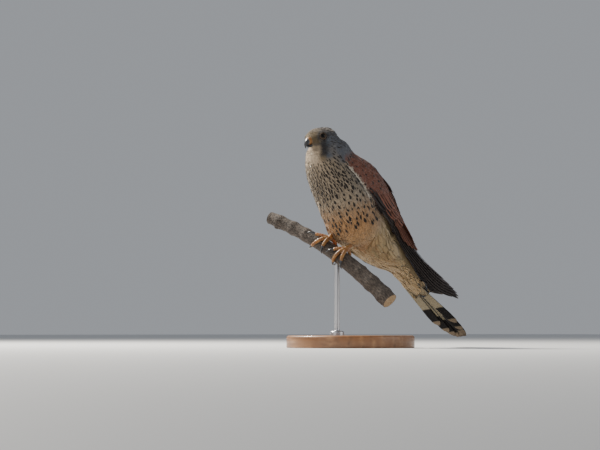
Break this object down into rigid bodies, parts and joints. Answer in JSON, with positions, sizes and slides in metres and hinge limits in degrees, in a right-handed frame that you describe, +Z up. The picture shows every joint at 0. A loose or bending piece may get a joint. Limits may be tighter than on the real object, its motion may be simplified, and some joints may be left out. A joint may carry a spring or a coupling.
{
  "type": "common kestrel",
  "caption": "Life-size still model of a male common kestrel with folded wings, gripping a cut length of branch that a rod and a flat round base hold up.",
  "frame": {"origin": "centre of the flat underside of the stand's round base, which rests on the floor", "axes": "+Z up, away from the floor; -Y the way the bird faces; +X towards the bird's own left side, on which the branch slopes down"},
  "size_m": [0.1656, 0.2484, 0.2474],
  "materials": {
    "plumage_rufous": "matte rufous feathers with small black spots",
    "plumage_buff": "soft matte buff body feathers with dark streaks and drops",
    "plumage_grey": "matte blue-grey feathers, the tail with a black band and a pale tip",
    "plumage_dark": "dark brown flight feathers with a faint sheen and pale edges",
    "horn": "smooth slate-black horn",
    "bare_skin": "scaled orange-yellow skin",
    "eye": "wet, very dark brown",
    "bark": "rough brown-grey bark with pale sawn ends",
    "base_wood": "satin turned wood",
    "rod_steel": "brushed steel"
  },
  "bodies": {
    "root": {"head": "plumage_grey", "neck": "plumage_buff", "torso": "plumage_buff", "rump": "plumage_buff", "tail_feathers": "plumage_grey", "thigh_left": "plumage_buff", "thigh_right": "plumage_buff", "wing_left_shoulder": "plumage_rufous", "wing_left_arm": "plumage_rufous", "wing_left_hand": "plumage_dark", "wing_right_shoulder": "plumage_rufous", "wing_right_arm": "plumage_rufous", "wing_right_hand": "plumage_dark", "eye_left": "eye", "eye_right": "eye", "bill_upper": "horn", "bill_lower": "horn", "shank_left": "bare_skin", "shank_right": "bare_skin", "foot_left": "bare_skin", "foot_right": "bare_skin", "claw_left_inner": "horn", "claw_left_middle": "horn", "claw_left_outer": "horn", "claw_left_hallux": "horn", "claw_right_inner": "horn", "claw_right_middle": "horn", "claw_right_outer": "horn", "claw_right_hallux": "horn", "perch_branch": "bark", "stand_base": "base_wood", "stand_rod": "rod_steel"}
  },
  "joints": []
}
